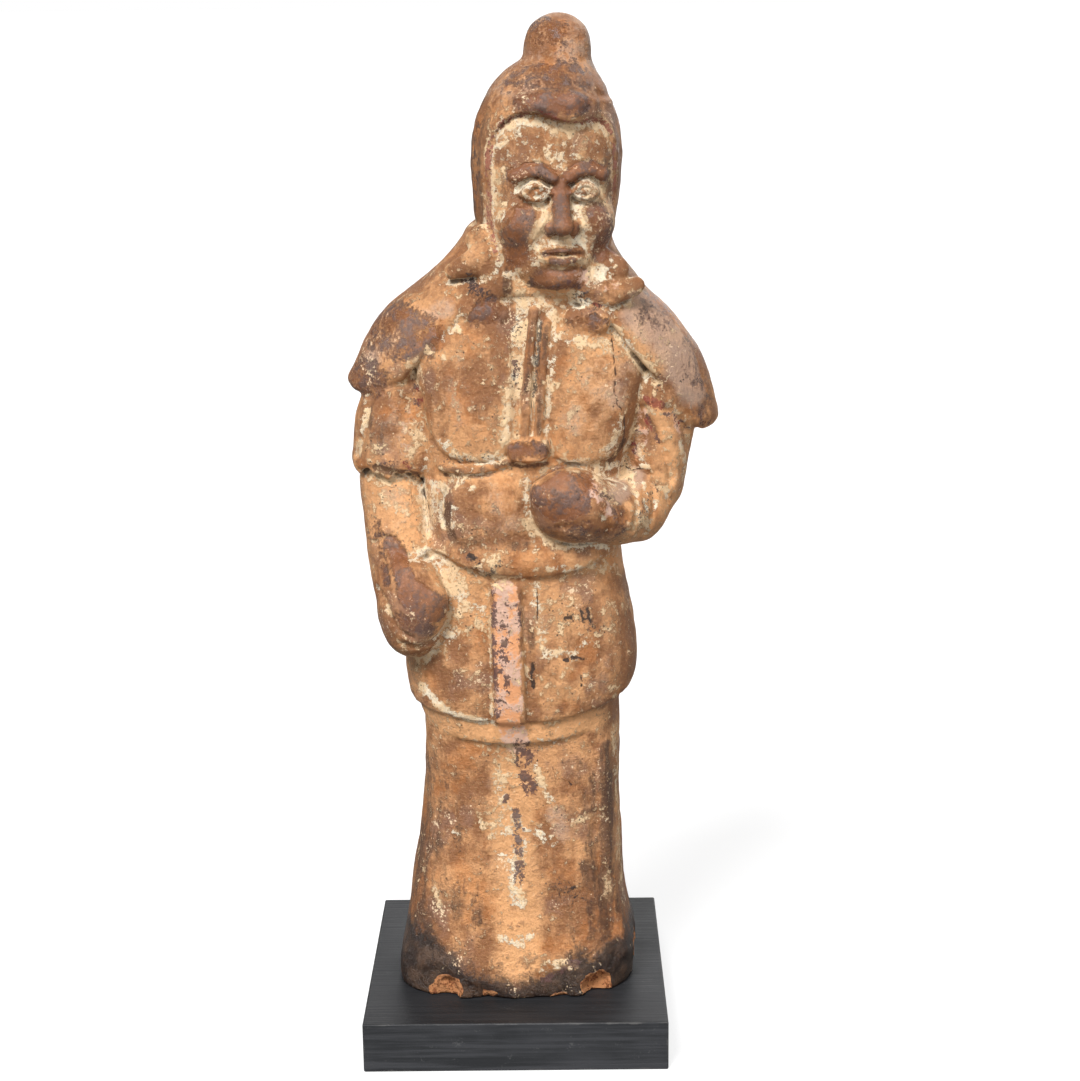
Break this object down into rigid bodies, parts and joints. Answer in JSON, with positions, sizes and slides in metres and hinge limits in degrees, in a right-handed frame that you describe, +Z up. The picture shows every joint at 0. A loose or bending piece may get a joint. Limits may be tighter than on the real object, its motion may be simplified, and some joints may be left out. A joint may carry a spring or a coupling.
{
  "type": "pottery guardian figure on a plinth",
  "caption": "Standing hooded pottery guardian in a short cape, breast plates and jacket, one fist held at the belt, on a flat square wooden plinth.",
  "frame": {"origin": "centre of the plinth's underside", "axes": "+Z up, the figure faces -Y, +X towards the side of the raised fist"},
  "size_m": [0.1819, 0.152, 0.5111],
  "materials": {
    "black_painted_wood": "black paint over wood, satin, rubbed at the edges",
    "fired_clay": "burnished brown earthenware with remains of cream slip and dark red pigment"
  },
  "bodies": {
    "root": {"plinth": "black_painted_wood", "guardian_figure": "fired_clay"}
  },
  "joints": []
}
